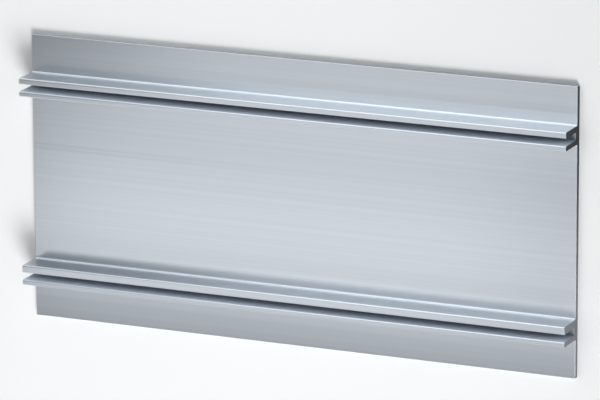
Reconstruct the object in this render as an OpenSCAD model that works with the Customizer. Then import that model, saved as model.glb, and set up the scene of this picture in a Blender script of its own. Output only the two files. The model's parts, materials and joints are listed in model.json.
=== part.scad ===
// Module mounting rail: one length of a wide aluminium extrusion.
// A flat plate carries two slotted ribs along its whole length, for hanging
// and clamping modules side by side. The rail lies on its back: X runs along
// it, Y across the plate from the lower rib to the upper one, and Z out of the
// plate. The origin is the middle of the back face. Sizes are in millimetres.

/* [Plate] */
// Length of the rail between its sawn ends
rail_length = 500; // [100:10:2000]
// Width of the plate across both ribs
plate_w = 250; // [200:1:400]
// Thickness of the plate
plate_t = 5; // [2:0.5:12]

/* [Ribs] */
// Distance between the middles of the two slots
rib_spacing = 167; // [40:1:210]
// How far the ribs stand out of the plate
rib_h = 26; // [16:0.5:60]
// Thickness of the upper flange of the upper rib
upper_rib_flange_t = 5.2; // [3.5:0.1:9]
// Thickness of the upper flange of the lower rib
lower_rib_flange_t = 6.6; // [3.5:0.1:9]
// Thickness of the lower flange of both ribs
under_flange_t = 4.5; // [3.5:0.1:9]

/* [Slots] */
// Width of the slot between the flanges of a rib
slot_w = 6.4; // [4.5:0.1:16]
// Thickness of the web between the slot's floor and the plate
web_t = 3.2; // [1:0.1:8]
// Radius of the corners at the slot's floor
slot_floor_r = 1.2; // [0.4:0.1:2]
// Radius of the lead-in on the lower flange, at the slot's mouth
lead_in_r = 1.5; // [0.5:0.1:2.5]

/* [Edges] */
// Radius of the fillets where a rib stands on the plate
root_r = 1.6; // [0.5:0.1:6]
// Radius of the upper front edge of each upper flange
nose_r = 1.5; // [0.3:0.1:2.5]
// Radius of the flanges' lower front edges
lip_r = 0.8; // [0.2:0.1:0.9]
// Radius of the plate's long edges
plate_edge_r = 0.4; // [0.1:0.05:0.6]

/* [Hidden] */
$fn = 64;
aluminium = [0.74, 0.76, 0.79];
// how far a cutting shape runs past the face it cuts, and a fillet into its wall
margin = 1;
half_w = plate_w / 2;
half_slot = slot_w / 2;
rib_top = plate_t + rib_h;
slot_floor = plate_t + web_t;

// The material outside a rounded corner. The arc's centre is the origin, and
// sx and sy say which quarter the corner lies in.
module corner_cut(r, sx, sy) {
    scale_to_quarter(sx, sy)
        difference() {
            square(r + margin);
            circle(r);
        }
}

// The material that fills an inner corner at the origin up to an arc.
module corner_fill(r, sx, sy) {
    scale_to_quarter(sx, sy)
        difference() {
            translate([-margin, -margin])
                square(r + margin);
            translate([r, r])
                circle(r);
        }
}

// Turns a shape drawn in the first quarter into the quarter with these signs.
module scale_to_quarter(sx, sy) {
    mirror([sx < 0 ? 1 : 0, 0])
        mirror([0, sy < 0 ? 1 : 0])
            children();
}

// The plate's section, with its four long edges eased.
module plate_section() {
    difference() {
        translate([-half_w, 0])
            square([plate_w, plate_t]);
        for (side = [-1, 1]) {
            translate([side * (half_w - plate_edge_r), plate_t - plate_edge_r])
                corner_cut(plate_edge_r, side, 1);
            translate([side * (half_w - plate_edge_r), plate_edge_r])
                corner_cut(plate_edge_r, side, -1);
        }
    }
}

// The slot between a rib's flanges, with rounded corners at its floor.
module slot_section() {
    difference() {
        translate([-half_slot, slot_floor])
            square([slot_w, rib_h - web_t + margin]);
        for (side = [-1, 1])
            translate([side * (half_slot - slot_floor_r), slot_floor + slot_floor_r])
                corner_cut(slot_floor_r, side, -1);
    }
}

// One rib's section on the plate, centred on its slot. The upper flange is at
// +x and is upper_t thick.
module rib_section(upper_t) {
    top = half_slot + upper_t;
    bottom = -half_slot - under_flange_t;
    difference() {
        translate([bottom, plate_t - margin])
            square([top - bottom, rib_h + margin]);
        slot_section();
        translate([top - nose_r, rib_top - nose_r])
            corner_cut(nose_r, 1, 1);
        translate([half_slot + lip_r, rib_top - lip_r])
            corner_cut(lip_r, -1, 1);
        translate([-half_slot - lead_in_r, rib_top - lead_in_r])
            corner_cut(lead_in_r, 1, 1);
        translate([bottom + lip_r, rib_top - lip_r])
            corner_cut(lip_r, -1, 1);
    }
    translate([top, plate_t])
        corner_fill(root_r, 1, 1);
    translate([bottom, plate_t])
        corner_fill(root_r, -1, 1);
}

// The whole section of the extrusion.
module rail_section() {
    plate_section();
    translate([rib_spacing / 2, 0])
        rib_section(upper_rib_flange_t);
    translate([-rib_spacing / 2, 0])
        rib_section(lower_rib_flange_t);
}

module mounting_rail() {
    color(aluminium)
        rotate([90, 0, 90])
            linear_extrude(rail_length, center = true)
                rail_section();
}

mounting_rail();
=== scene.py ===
"""Looks for the module mounting rail: extruded aluminium with sawn ends, lying on its back.

The rail is the CAD node itself. This script eases its sawn edges, gives it its finish, and sets up
the floor, the lights and the camera. Units are metres, in the CAD part's frame: X runs along the
rail, Y across the plate toward the side that is uppermost in the photograph, Z out of the plate.
"""

import json
import math

import bpy
from mathutils import Matrix, Vector

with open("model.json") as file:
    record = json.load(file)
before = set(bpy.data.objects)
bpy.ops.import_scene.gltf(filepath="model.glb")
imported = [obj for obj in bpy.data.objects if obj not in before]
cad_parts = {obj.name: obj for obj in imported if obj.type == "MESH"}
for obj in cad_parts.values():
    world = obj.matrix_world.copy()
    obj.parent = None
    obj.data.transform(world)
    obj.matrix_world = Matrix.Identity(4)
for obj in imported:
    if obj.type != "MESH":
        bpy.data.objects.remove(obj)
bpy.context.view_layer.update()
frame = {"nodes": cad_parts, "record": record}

MM = 0.001
scene = bpy.context.scene
rail = frame["nodes"]["mounting_rail"]

# Camera: the photograph's view, as seen by someone facing the rail with +Y up
PHOTO_WIDTH_PX = 600
CAMERA_RIGHT_DEG = 23.84        # how far the camera stands to the right of straight on
CAMERA_ABOVE_DEG = 14.71        # how far it looks down the plate
CAMERA_ROLL_DEG = -0.27
CAMERA_DISTANCE = 4.427
CAMERA_FOCAL_PX = 5242.5
CENTRE_OFFSET_PX = (-0.6, 3.9)  # where the plate's middle lies, right of and below the frame's middle
SENSOR_MM = 36.0
FAR_CLIP = 100
PLATE_T = 5 * MM

# Eased edges round the sawn ends
WELD_REACH = 0.001 * MM
FLAT_ANGLE_DEG = 0.5
BURR_W = 0.25 * MM
BURR_SEGMENTS = 2
BURR_ANGLE_DEG = 60
LONG_FACE_WEIGHT = 50

# Streaks along the rail: the distance between lines, their length, and the noise's detail and seed
FINE_STREAKS = (2.4 * MM, 2600 * MM, 0.0, 1)
BROAD_STREAKS = (9 * MM, 5000 * MM, 1.0, 2)
STREAK_NOISE_ROUGHNESS = 0.6
SEED_SHIFT = (7.3, 3.1, 5.7)
FINE_SHARE = 0.5
BROAD_SHARE = 0.5
NOISE_SPAN = (0.3, 0.7)         # most of a noise's values lie between these
RELIEF_DEPTH = 0.05 * MM
RELIEF_STRENGTH = 0.12
STREAK_COLOURS = ((0.710, 0.762, 0.820), (0.831, 0.883, 0.941))
STREAK_ROUGHNESS = (0.276, 0.288)

# A pair of faint dark lines that the die drew on the plate. They are plainest at the rail's left end.
DIE_LINES_Y = (29 * MM, 25.5 * MM)
DIE_LINE_HALF_W = 1.6 * MM
DIE_LINE_FADES = (-210 * MM, -20 * MM)
DIE_LINE_RIGHT = 0.15           # the strength they keep at the right
DIE_LINE_COLOUR = (0.70, 0.755, 0.82)

# The slots' duller walls end round the edges of their mouths, this far outside the clear openings
SLOT_FADE_FROM = 0.1 * MM
SLOT_FADE_TO = 0.45 * MM
# Painted shade in the slots: their colour darkens from the mouths toward the floors, where shade falls
SLOT_PAINTED_SHADE_COLOURS = ((0.50, 0.545, 0.60), (0.86, 0.905, 0.955))  # at the slots' floors and at their mouths
SLOT_ROUGHNESS = (0.85, 0.95)

# Sawn ends: arcs left by a large circular blade. Their duller finish is real, but their dark colours are
# mostly painted shade, darkest toward the rail's upper side
END_NORMAL_X = 0.9
SAW_CENTRE = (0, 60 * MM, -210 * MM)
SAW_SCALE = 1800.0
SAW_DETAIL = 4.0
SAW_NOISE_ROUGHNESS = 0.7
END_SHADE_FADES_Y = (-60 * MM, 65 * MM)
END_LESS_SHADED_COLOURS = ((0.11, 0.118, 0.128), (0.33, 0.35, 0.375))
END_PAINTED_SHADE_COLOURS = ((0.008, 0.009, 0.010), (0.028, 0.031, 0.035))
END_ROUGHNESS = (0.42, 0.58)

# Studio
FLOOR_HALF = 30.0
FLOOR_DROP = 0.2 * MM
FLOOR_COLOUR = (0.93, 0.93, 0.93, 1)
STUDIO_COLOUR = (0.88, 0.95, 1.0, 1)
STUDIO_FADES_Z = (0.0, 0.5)
STUDIO_LEVELS = (0.36, 0.115)   # at the horizon and overhead
UPPER_PANEL_MIDDLE = (1.874, 0.676)  # Y and Z
UPPER_PANEL_AIM = (0.176, -0.304)    # Y and Z
UPPER_PANEL_H = 1.7


def node(tree, kind, inputs=None, **settings):
    """Adds one shader node, sets its properties and its sockets' values, and returns it."""
    made = tree.nodes.new(kind)
    for name, value in settings.items():
        setattr(made, name, value)
    for name, value in (inputs or {}).items():
        made.inputs[name].default_value = value
    return made


def axes(tree, vector):
    """The X, Y and Z sockets of a vector's socket."""
    split = node(tree, "ShaderNodeSeparateXYZ")
    tree.links.new(vector, split.inputs[0])
    return split.outputs


def vector_node(tree, operation, a, b):
    """A Vector Math node on a socket and a fixed vector."""
    made = node(tree, "ShaderNodeVectorMath", operation=operation)
    tree.links.new(a, made.inputs[0])
    made.inputs[1].default_value = b
    return made.outputs


def math_node(tree, operation, a, b=None):
    """A Math node on a socket and a socket or number."""
    made = node(tree, "ShaderNodeMath", operation=operation)
    tree.links.new(a, made.inputs[0])
    if isinstance(b, bpy.types.NodeSocket):
        tree.links.new(b, made.inputs[1])
    elif b is not None:
        made.inputs[1].default_value = b
    return made.outputs[0]


def ramp(tree, value, low, high, to_low, to_high):
    """Maps a value's range low..high to to_low..to_high, clamped."""
    made = node(tree, "ShaderNodeMapRange", inputs={
        "From Min": low, "From Max": high, "To Min": to_low, "To Max": to_high})
    tree.links.new(value, made.inputs["Value"])
    return made.outputs["Result"]


def mix_colour(tree, factor, a, b):
    """A colour between a and b; each is a colour or a socket."""
    made = node(tree, "ShaderNodeMix", data_type="RGBA")
    tree.links.new(factor, made.inputs["Factor"])
    for name, value in (("A", a), ("B", b)):
        socket = [s for s in made.inputs if s.name == name and s.type == "RGBA"][0]
        if isinstance(value, bpy.types.NodeSocket):
            tree.links.new(value, socket)
        else:
            socket.default_value = (*value, 1)
    return [s for s in made.outputs if s.type == "RGBA"][0]


def mix_value(tree, factor, a, b):
    """A number between the sockets a and b."""
    made = node(tree, "ShaderNodeMix", data_type="FLOAT")
    tree.links.new(factor, made.inputs["Factor"])
    for name, value in (("A", a), ("B", b)):
        socket = [s for s in made.inputs if s.name == name and s.type == "VALUE"][0]
        tree.links.new(value, socket)
    return [s for s in made.outputs if s.type == "VALUE"][0]


def streaks(tree, position, across, along, detail, seed):
    """Noise drawn out along the rail: lines `across` metres apart that change every `along` metres."""
    stretched = vector_node(tree, "MULTIPLY", position, (1 / along, 1 / across, 1 / across))[0]
    shifted = vector_node(tree, "ADD", stretched, [seed * shift for shift in SEED_SHIFT])[0]
    noise = node(tree, "ShaderNodeTexNoise", inputs={
        "Scale": 1.0, "Detail": detail, "Roughness": STREAK_NOISE_ROUGHNESS})
    tree.links.new(shifted, noise.inputs["Vector"])
    return noise.outputs["Fac"]


def saw_marks(tree, position):
    """Noise in rings round the saw's axle."""
    across_end = vector_node(tree, "MULTIPLY", position, (0, 1, 1))[0]
    radius = vector_node(tree, "DISTANCE", across_end, SAW_CENTRE)["Value"]
    noise = node(tree, "ShaderNodeTexNoise", noise_dimensions="1D", inputs={
        "Scale": SAW_SCALE, "Detail": SAW_DETAIL, "Roughness": SAW_NOISE_ROUGHNESS})
    tree.links.new(radius, noise.inputs["W"])
    return noise.outputs["Fac"]


def slot_walls(tree, position):
    """Two masks: 1 on the slots' walls and floors, and 0 at the slots' floors to 1 at their mouths, which
    fades out the slots' painted shade.
    """
    openings = {o["name"]: o["box_m"] for o in frame["record"]["physics"]["openings"]}
    low, high = openings["upper_slot"]
    middle, half = (low[1] + high[1]) / 2, (high[1] - low[1]) / 2
    place = axes(tree, position)
    from_middle = math_node(tree, "SUBTRACT", math_node(tree, "ABSOLUTE", place["Y"]), middle)
    aside = math_node(tree, "ABSOLUTE", from_middle)
    inside = ramp(tree, aside, half + SLOT_FADE_FROM, half + SLOT_FADE_TO, 1, 0)
    return inside, ramp(tree, place["Z"], low[2], high[2], 0, 1)


def die_lines(tree, position):
    """1 along the middles of the plate's two die lines, less at their sides and toward the right."""
    place = axes(tree, position)
    lines = []
    for y in DIE_LINES_Y:
        aside = math_node(tree, "ABSOLUTE", math_node(tree, "SUBTRACT", place["Y"], y))
        lines.append(ramp(tree, aside, 0, DIE_LINE_HALF_W, 1, 0))
    strength = ramp(tree, place["X"], *DIE_LINE_FADES, 1, DIE_LINE_RIGHT)
    return math_node(tree, "MULTIPLY", math_node(tree, "MAXIMUM", *lines), strength)


def aluminium():
    """Mill-finish aluminium: fine streaks along the rail, duller slots with painted shade toward their
    floors, and sawn faces at its ends painted dark as shade.
    """
    material = bpy.data.materials.new("extruded_aluminium")
    material.use_nodes = True
    tree = material.node_tree
    tree.nodes.clear()
    position = node(tree, "ShaderNodeTexCoord").outputs["Object"]
    fine = streaks(tree, position, *FINE_STREAKS)
    broad = streaks(tree, position, *BROAD_STREAKS)
    both = math_node(tree, "ADD", math_node(tree, "MULTIPLY", fine, FINE_SHARE),
                     math_node(tree, "MULTIPLY", broad, BROAD_SHARE))
    saw = saw_marks(tree, position)
    normal = axes(tree, node(tree, "ShaderNodeNewGeometry").outputs["Normal"])
    is_end = math_node(tree, "GREATER_THAN", math_node(tree, "ABSOLUTE", normal["X"]), END_NORMAL_X)

    in_slot, slot_shade_fade = slot_walls(tree, position)
    plain_colour = mix_colour(tree, both, *STREAK_COLOURS)
    bright_colour = mix_colour(tree, die_lines(tree, position), plain_colour, DIE_LINE_COLOUR)
    # painted shade: the slots' walls darken toward their floors
    slot_colour = mix_colour(tree, slot_shade_fade, *SLOT_PAINTED_SHADE_COLOURS)
    side_colour = mix_colour(tree, in_slot, bright_colour, slot_colour)
    # painted shade on the sawn ends: their colour darkens toward the rail's upper side
    less_end_shade = ramp(tree, axes(tree, position)["Y"], *END_SHADE_FADES_Y, 1, 0)
    end_low, end_high = [mix_colour(tree, less_end_shade, dark, light)
                         for dark, light in zip(END_PAINTED_SHADE_COLOURS, END_LESS_SHADED_COLOURS)]
    end_colour = mix_colour(tree, saw, end_low, end_high)
    bright_rough = ramp(tree, both, *NOISE_SPAN, *STREAK_ROUGHNESS)
    slot_rough = ramp(tree, both, *NOISE_SPAN, *SLOT_ROUGHNESS)
    side_rough = mix_value(tree, in_slot, bright_rough, slot_rough)
    end_rough = ramp(tree, saw, *NOISE_SPAN, *END_ROUGHNESS)

    bump = node(tree, "ShaderNodeBump", inputs={"Strength": RELIEF_STRENGTH, "Distance": RELIEF_DEPTH})
    tree.links.new(mix_value(tree, is_end, fine, saw), bump.inputs["Height"])
    shader = node(tree, "ShaderNodeBsdfPrincipled", inputs={"Metallic": 1.0})
    tree.links.new(mix_colour(tree, is_end, side_colour, end_colour), shader.inputs["Base Color"])
    tree.links.new(mix_value(tree, is_end, side_rough, end_rough), shader.inputs["Roughness"])
    tree.links.new(bump.outputs["Normal"], shader.inputs["Normal"])
    output = node(tree, "ShaderNodeOutputMaterial")
    tree.links.new(shader.outputs["BSDF"], output.inputs["Surface"])
    return material


def ease_sawn_edges(piece):
    """Breaks the sharp edges round the sawn ends, as a file does. The long edges are rounded already."""
    weld = piece.modifiers.new("weld", "WELD")
    weld.merge_threshold = WELD_REACH
    flat = piece.modifiers.new("flat_faces", "DECIMATE")
    flat.decimate_type = "DISSOLVE"
    flat.angle_limit = math.radians(FLAT_ANGLE_DEG)
    bevel = piece.modifiers.new("burr", "BEVEL")
    bevel.width = BURR_W
    bevel.segments = BURR_SEGMENTS
    bevel.limit_method = "ANGLE"
    bevel.angle_limit = math.radians(BURR_ANGLE_DEG)
    # the long faces set the normals, so that the narrow ones at the ends don't bend their shading
    shading = piece.modifiers.new("shading", "WEIGHTED_NORMAL")
    shading.mode = "FACE_AREA"
    shading.weight = LONG_FACE_WEIGHT
    shading.keep_sharp = True


def add_floor():
    """A plain pale floor just under the rail. It takes the rail's shadow."""
    corners = [(x * FLOOR_HALF, y * FLOOR_HALF, -FLOOR_DROP)
               for x, y in ((-1, -1), (1, -1), (1, 1), (-1, 1))]
    mesh = bpy.data.meshes.new("floor")
    mesh.from_pydata(corners, [], [(0, 1, 2, 3)])
    floor = bpy.data.objects.new("floor", mesh)
    scene.collection.objects.link(floor)

    material = bpy.data.materials.new("floor_white")
    material.use_nodes = True
    tree = material.node_tree
    tree.nodes.clear()
    diffuse = node(tree, "ShaderNodeBsdfDiffuse", inputs={"Color": FLOOR_COLOUR})
    output = node(tree, "ShaderNodeOutputMaterial")
    tree.links.new(diffuse.outputs[0], output.inputs["Surface"])
    mesh.materials.append(material)


def add_world():
    """A plain studio: pale at the horizon, dim overhead."""
    world = bpy.data.worlds.new("studio")
    scene.world = world
    world.use_nodes = True
    tree = world.node_tree
    background = tree.nodes["Background"]
    direction = axes(tree, node(tree, "ShaderNodeTexCoord").outputs["Generated"])
    level = ramp(tree, direction["Z"], *STUDIO_FADES_Z, *STUDIO_LEVELS)
    tree.links.new(level, background.inputs["Strength"])
    background.inputs["Color"].default_value = STUDIO_COLOUR


def add_softbox(name, place, aim, size, brightness):
    """A rectangular area light at `place` that faces `aim`. Its brightness is what a mirror shows of it."""
    light = bpy.data.lights.new(name, "AREA")
    light.shape = "RECTANGLE"
    light.size, light.size_y = size
    light.energy = brightness * math.pi * size[0] * size[1]
    lamp = bpy.data.objects.new(name, light)
    scene.collection.objects.link(lamp)
    lamp.location = place
    lamp.rotation_mode = "QUATERNION"
    lamp.rotation_quaternion = (Vector(aim) - Vector(place)).to_track_quat("-Z", "Y")
    lamp.visible_camera = False


def add_card(name, x_span, y_span, height, brightness):
    """A softbox over these spans of X and Y that faces straight down."""
    x, y = sum(x_span) / 2, sum(y_span) / 2
    size = (x_span[1] - x_span[0], y_span[1] - y_span[0])
    add_softbox(name, (x, y, height), (x, y, 0), size, brightness)


def add_upper_panel(name, x_span, brightness):
    """A tall softbox over this span of X, beyond the rail's upper side. It leans toward the rail."""
    x = sum(x_span) / 2
    size = (x_span[1] - x_span[0], UPPER_PANEL_H)
    add_softbox(name, (x, *UPPER_PANEL_MIDDLE), (x, *UPPER_PANEL_AIM), size, brightness)


def add_lights():
    """Cards that the plate and the ribs mirror, panels beyond the rail's long sides, and a lamp."""
    add_card("key", x_span=(-0.52, 0.0), y_span=(-0.267, -0.06), height=0.5, brightness=0.36)
    add_card("key_core", x_span=(-0.56, 0.0), y_span=(-0.25, -0.125), height=0.495, brightness=0.59)
    add_card("key_right", x_span=(0.0, 0.37), y_span=(-0.265, -0.112), height=0.49, brightness=0.695)
    add_card("upper_strip", x_span=(-0.37, 0.31), y_span=(-0.06, 0.03), height=0.488, brightness=0.76)
    add_card("upper_left", x_span=(-0.53, -0.37), y_span=(-0.08, 0.0), height=0.488, brightness=0.44)
    add_card("upper_rib", x_span=(-0.325, 0.205), y_span=(0.15, 0.35), height=0.5, brightness=1.24)
    add_card("upper_rib_left", x_span=(-0.54, -0.325), y_span=(0.22, 0.42), height=0.5, brightness=0.58)
    add_upper_panel("upper_panel", x_span=(-0.95, -0.2), brightness=1.62)
    add_upper_panel("upper_panel_left", x_span=(-1.28, -0.95), brightness=0.9)
    add_softbox("lower_panel", place=(-0.2, -0.65, 0.37), aim=(-0.2, 0, 0.37),
                size=(1.2, 0.3), brightness=1.2)
    add_softbox("lamp", place=(2.1, -3.2, 3.5), aim=(0, 0, 0), size=(2.4, 2.4), brightness=12.2)


def add_camera():
    """A camera where the photograph's stood, framing the rail as the photograph does."""
    right_turn, above = math.radians(CAMERA_RIGHT_DEG), math.radians(CAMERA_ABOVE_DEG)
    roll = math.radians(CAMERA_ROLL_DEG)
    level = math.cos(above)
    back = Vector((math.sin(right_turn) * level, math.sin(above), math.cos(right_turn) * level))
    level_right = Vector((0, 1, 0)).cross(back).normalized()
    level_up = back.cross(level_right)
    right = math.cos(roll) * level_right + math.sin(roll) * level_up
    up = math.cos(roll) * level_up - math.sin(roll) * level_right
    metres_per_px = CAMERA_DISTANCE / CAMERA_FOCAL_PX
    aim = Vector((0, 0, PLATE_T))
    aim += (CENTRE_OFFSET_PX[1] * up - CENTRE_OFFSET_PX[0] * right) * metres_per_px
    data = bpy.data.cameras.new("camera")
    data.sensor_width = SENSOR_MM
    data.lens = CAMERA_FOCAL_PX / PHOTO_WIDTH_PX * SENSOR_MM
    data.clip_end = FAR_CLIP
    camera = bpy.data.objects.new("camera", data)
    scene.collection.objects.link(camera)
    turn = Matrix((right, up, back)).transposed().to_4x4()
    camera.matrix_world = Matrix.Translation(aim + CAMERA_DISTANCE * back) @ turn
    scene.camera = camera


rail.data.materials.clear()
rail.data.materials.append(aluminium())
ease_sawn_edges(rail)
add_floor()
add_world()
add_lights()
add_camera()
scene.view_settings.view_transform = "Standard"
